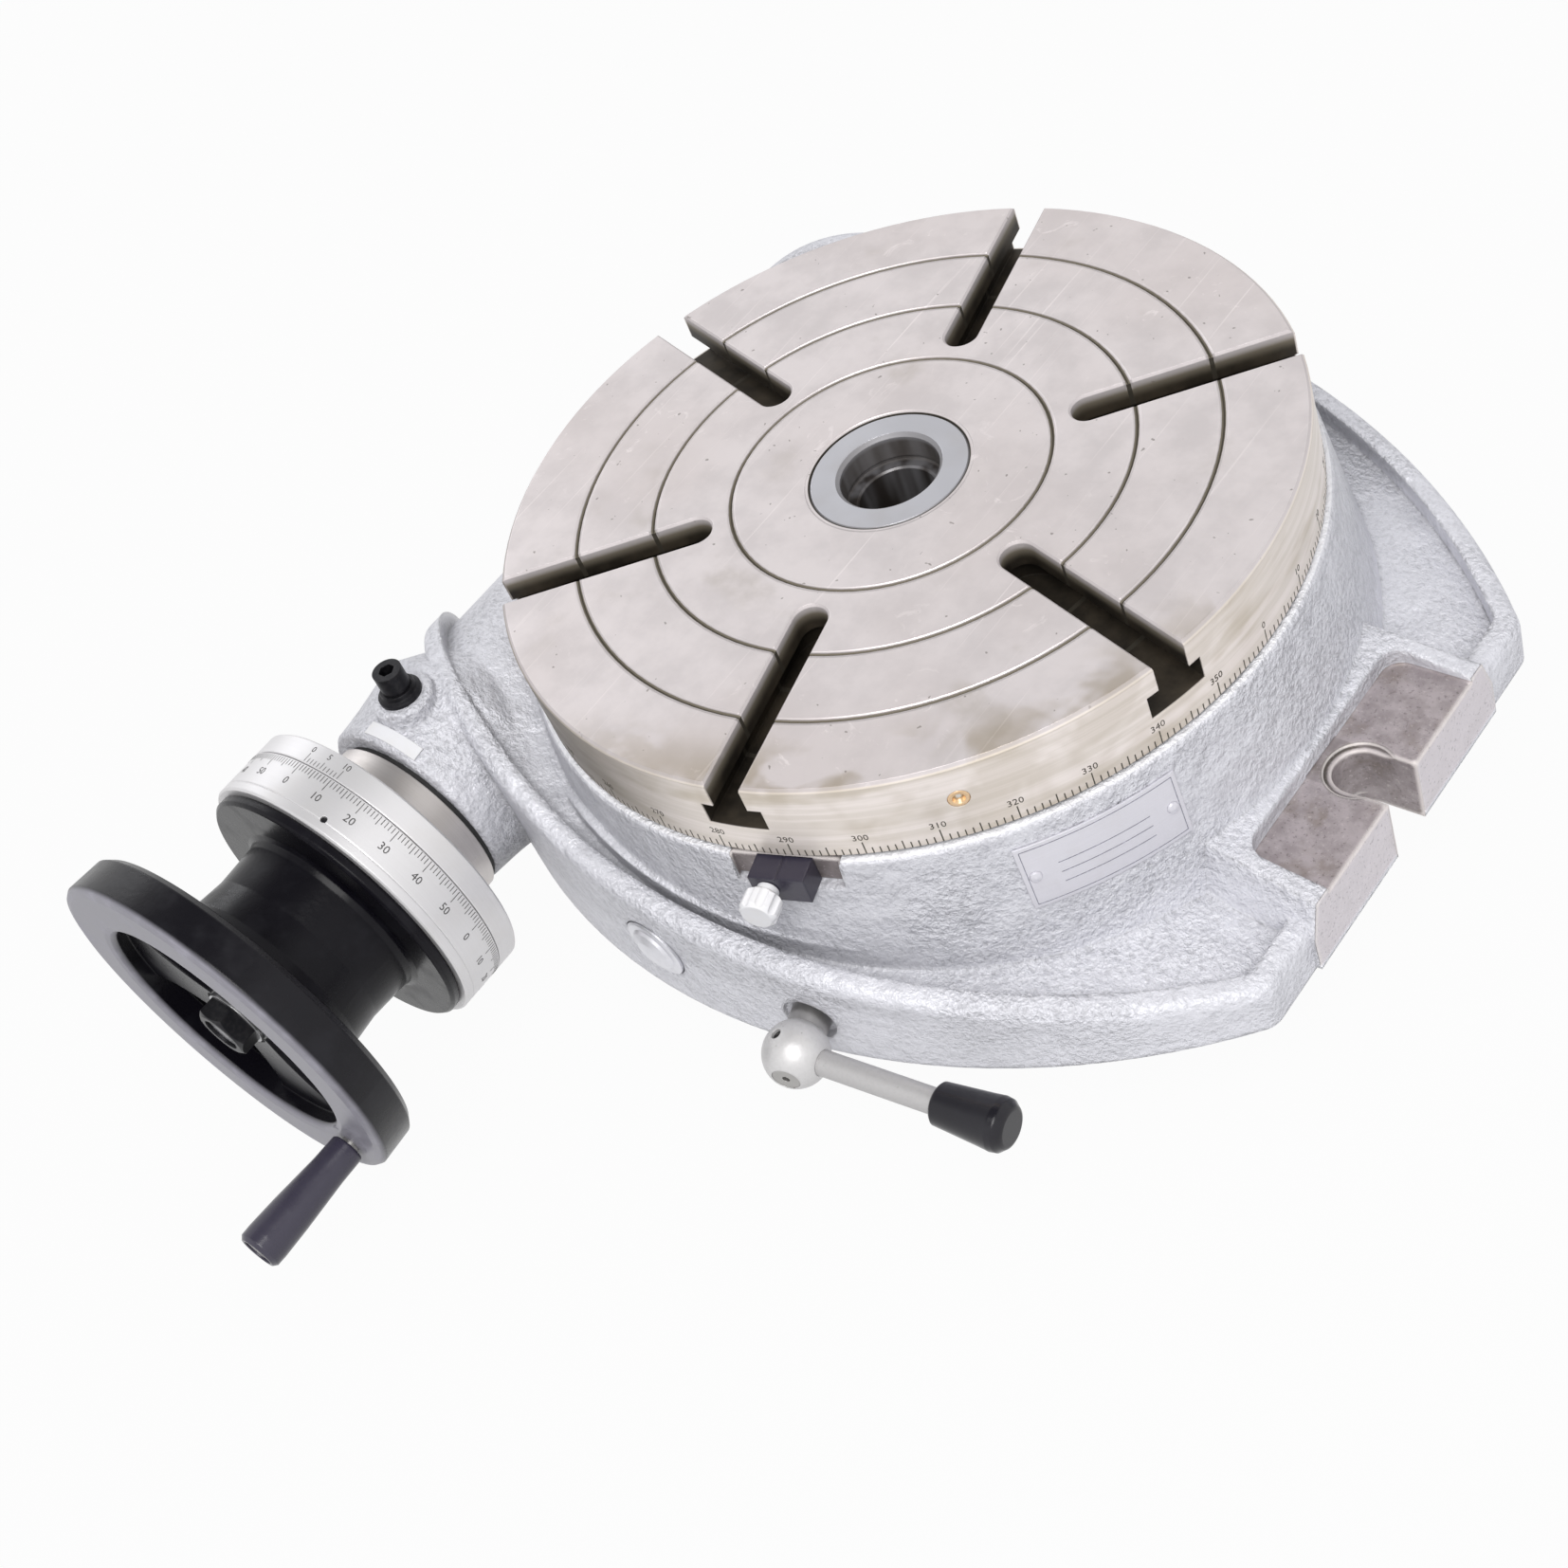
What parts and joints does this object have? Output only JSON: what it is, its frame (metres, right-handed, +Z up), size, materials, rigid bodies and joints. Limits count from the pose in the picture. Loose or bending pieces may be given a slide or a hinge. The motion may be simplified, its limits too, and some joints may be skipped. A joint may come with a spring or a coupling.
{
  "type": "rotary indexing table",
  "caption": "Round T-slotted work table on a low cast base, turned through a worm wheel by a handwheel with a graduated dial, with a lever clamp.",
  "frame": {"origin": "on the table axis, in the plane of the base's floor face", "axes": "+Z up along the table axis, +X to the hold-down lug in front right, handwheel end of the worm towards -Y"},
  "size_m": [0.4265, 0.5359, 0.162],
  "materials": {
    "painted_cast": "silver hammer paint over cast iron",
    "ground_iron": "ground, lightly oiled",
    "machined_steel": "turned and ground",
    "worm_steel": "hardened and ground",
    "bronze": "machined bronze",
    "brass": "turned brass",
    "screw_steel": "black oxide",
    "seal_rubber": "soft black",
    "satin_dial": "satin plated",
    "black_enamel": "gloss black",
    "lever_metal": "satin grey",
    "knob_black": "gloss black",
    "white_plastic": "moulded white",
    "plate": "bare plate",
    "label": "white strip"
  },
  "bodies": {
    "base": {"base_casting": "painted_cast", "eccentric_sleeve": "machined_steel", "seal_ring": "seal_rubber", "front_bushes": "bronze", "rear_bush": "bronze", "rear_cover": "painted_cast", "cover_screws": "screw_steel", "vernier_ring": "satin_dial", "lock_collar": "screw_steel", "lock_screw": "screw_steel", "sight_plug": "painted_cast", "zero_pointer": "black_enamel", "nameplate": "plate", "plate_rivets": "plate", "housing_label": "label"},
    "table": {"table_top": "ground_iron", "centre_sleeve": "machined_steel", "worm_wheel": "bronze", "wheel_screws": "screw_steel", "wheel_dowels": "machined_steel", "retaining_disc": "machined_steel", "disc_screws": "screw_steel", "ball_oiler_body": "brass", "ball_oiler_ball": "machined_steel"},
    "worm": {"worm_shaft": "worm_steel", "thrust_ring": "worm_steel", "lock_nuts": "machined_steel", "dial_hub": "black_enamel", "drive_key": "machined_steel", "handwheel": "black_enamel", "wheel_washer": "machined_steel", "wheel_nut": "screw_steel", "handle_stud": "machined_steel"},
    "dial": {"dial_ring": "satin_dial", "dial_screw": "screw_steel"},
    "grip": {"handle_grip": "knob_black"},
    "lever": {"clamp_screw": "machined_steel", "lever_ball": "lever_metal", "lever_set_screw": "screw_steel", "lever_arm": "lever_metal", "lever_knob": "knob_black"},
    "shoe": {"clamp_shoe": "bronze"},
    "thumb": {"thumb_screw": "white_plastic"}
  },
  "joints": [
    {"name": "table_spin", "type": "hinge", "parent": "base", "child": "table", "pos_m": [0, 0, 0], "axis": [0, 0, 1], "continuous": true},
    {"name": "worm_spin", "type": "hinge", "parent": "base", "child": "worm", "pos_m": [-0.1405, 0, 0.05], "axis": [0, 1, 0], "continuous": true},
    {"name": "dial_zero", "type": "hinge", "parent": "worm", "child": "dial", "pos_m": [-0.1405, -0.22, 0.05], "axis": [0, 1, 0], "continuous": true},
    {"name": "handle_spin", "type": "hinge", "parent": "worm", "child": "grip", "pos_m": [-0.09515, -0.32, 0.00136], "axis": [0, 1, 0], "continuous": true},
    {"name": "clamp_swing", "type": "hinge", "parent": "base", "child": "lever", "pos_m": [0.06002, -0.19036, 0.019], "axis": [0.3007, -0.9537, 0], "range_deg": [0, 60]},
    {"name": "clamp_shoe_slide", "type": "slide", "parent": "base", "child": "shoe", "axis": [-0.3007, 0.9537, 0], "range_m": [0, 0.0004]},
    {"name": "pointer_screw_turn", "type": "hinge", "parent": "base", "child": "thumb", "pos_m": [0.0497, -0.16257, 0.08], "axis": [0.2924, -0.9563, 0], "range_deg": [0, 720]}
  ],
  "couplings": [
    {"joint": "worm_spin", "follows": "table_spin", "ratio": 90},
    {"joint": "clamp_shoe_slide", "follows": "clamp_swing", "m_per_rad": 0.00028648}
  ]
}
